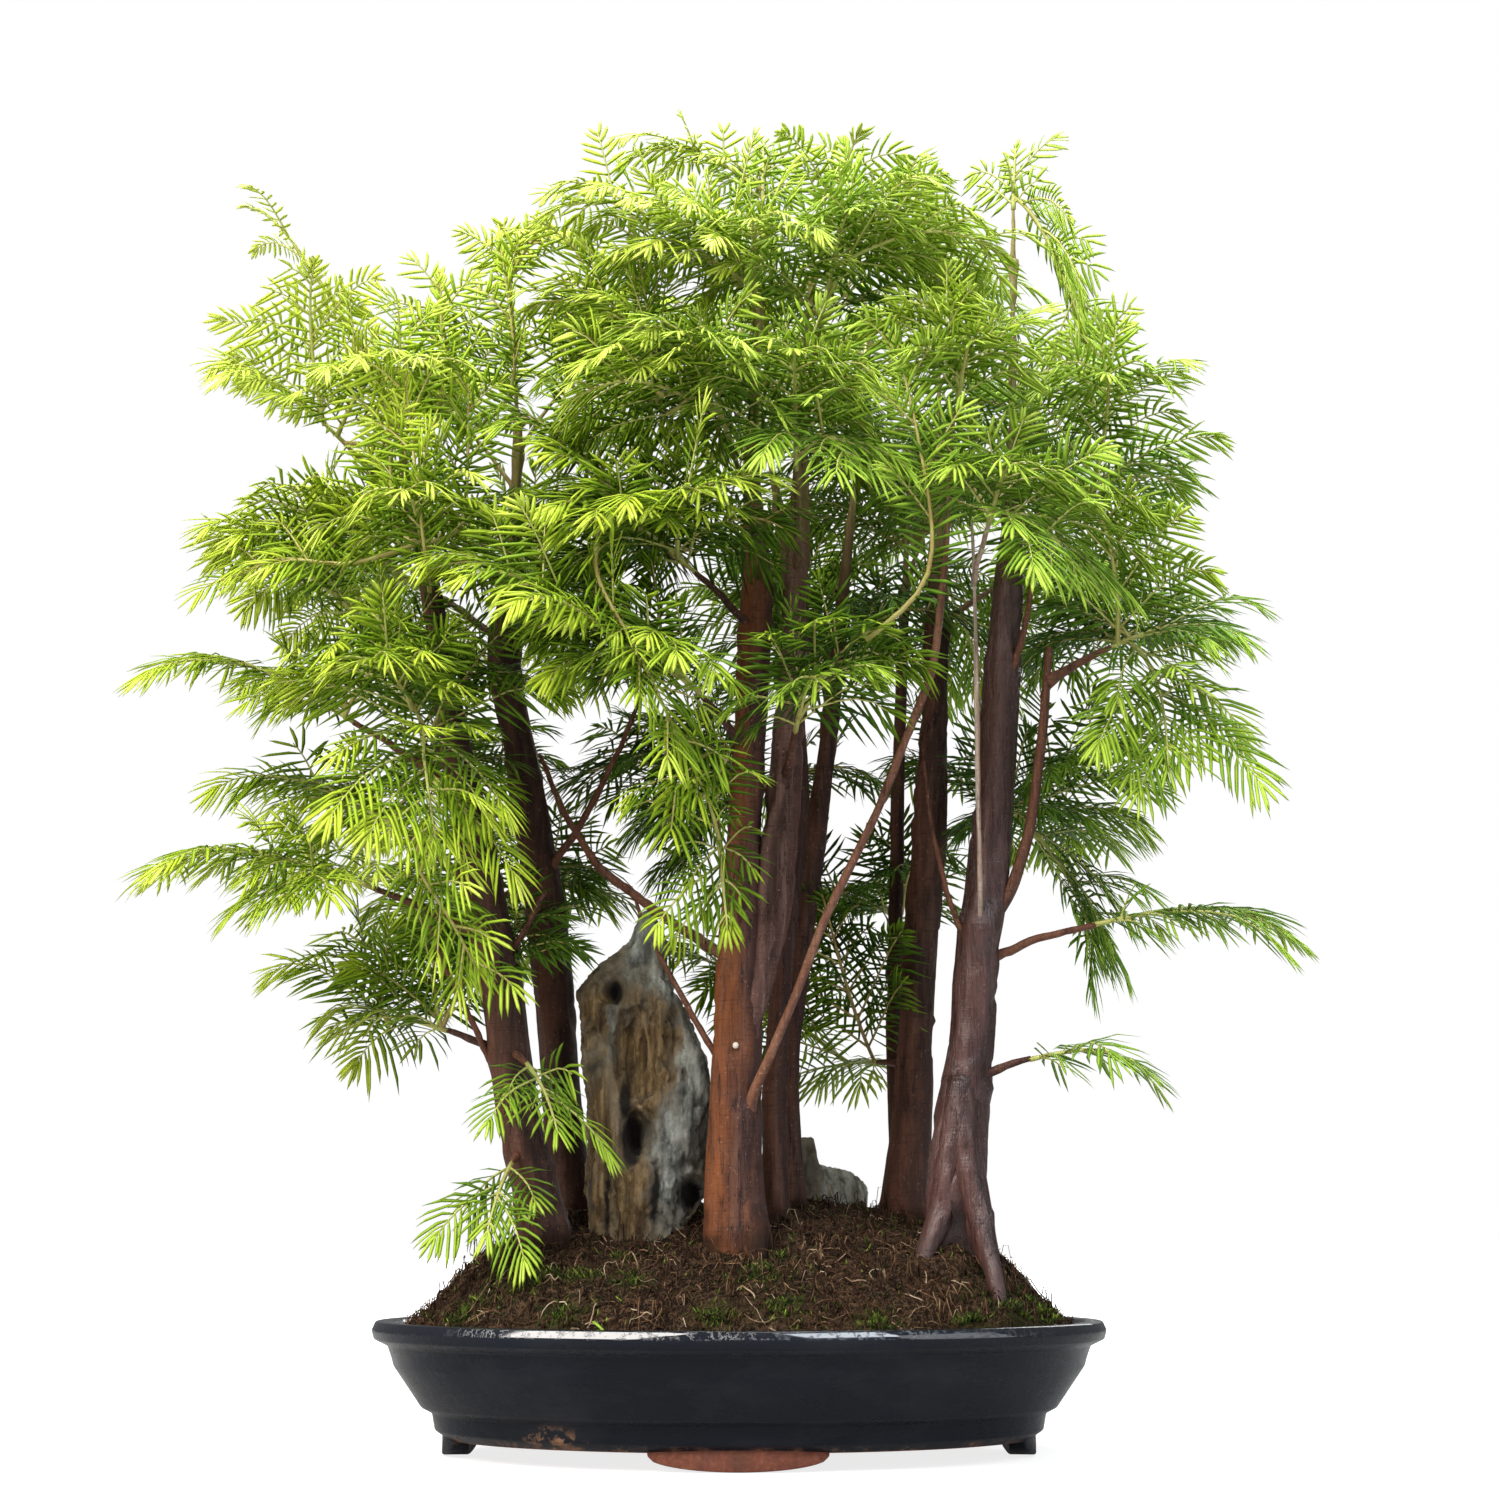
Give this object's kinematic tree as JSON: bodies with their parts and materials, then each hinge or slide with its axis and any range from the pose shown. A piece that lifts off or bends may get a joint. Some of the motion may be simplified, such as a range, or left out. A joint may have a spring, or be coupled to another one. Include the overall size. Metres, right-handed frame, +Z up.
{
  "type": "dawn redwood bonsai forest",
  "caption": "Dawn redwood bonsai forest with feathery sprays, reddish trunks and upright stone, planted in a mound of soil in an oval glazed tray.",
  "frame": {"origin": "on the ground under the middle of the whole forest, with the tray's four feet standing on it", "axes": "+Z up along the trunks, +X to the right and -Y to the viewer of the front, where the tall stone stands left of the main trunk"},
  "size_m": [0.566, 0.3502, 0.6549],
  "materials": {
    "glaze": "dark blue-black glaze, glossy, with wear at the edges",
    "plastic_mesh": "plain moulded mesh",
    "soil": null,
    "stone": "ochre and grey weathered limestone",
    "bark": "smooth reddish-brown bark with shallow furrows",
    "needles": null
  },
  "bodies": {
    "root": {"screen_left": "plastic_mesh", "screen_right": "plastic_mesh", "soil": "soil", "spray_01": "needles", "spray_02": "needles", "spray_03": "needles", "spray_04": "needles", "spray_05": "needles", "spray_06": "needles", "spray_07": "needles", "spray_08": "needles", "spray_09": "needles", "spray_10": "needles", "spray_11": "needles", "spray_12": "needles", "spray_13": "needles", "spray_14": "needles", "spray_15": "needles", "spray_16": "needles", "spray_17": "needles", "spray_18": "needles", "spray_19": "needles", "spray_20": "needles", "spray_21": "needles", "spray_22": "needles", "spray_23": "needles", "spray_24": "needles", "spray_25": "needles", "spray_26": "needles", "spray_27": "needles", "spray_28": "needles", "spray_29": "needles", "spray_30": "needles", "spray_31": "needles", "spray_32": "needles", "spray_33": "needles", "spray_34": "needles", "spray_35": "needles", "spray_36": "needles", "spray_37": "needles", "spray_38": "needles", "spray_39": "needles", "spray_40": "needles", "spray_41": "needles", "spray_42": "needles", "spray_43": "needles", "spray_44": "needles", "spray_45": "needles", "stone_low": "stone", "stone_tall": "stone", "tray": "glaze", "trunk_left_back": "bark", "trunk_left_front": "bark", "trunk_main": "bark", "trunk_right_back": "bark", "trunk_right_front": "bark", "trunk_slim_back": "bark", "trunk_slim_front": "bark", "trunk_thin_back": "bark"}
  },
  "joints": []
}
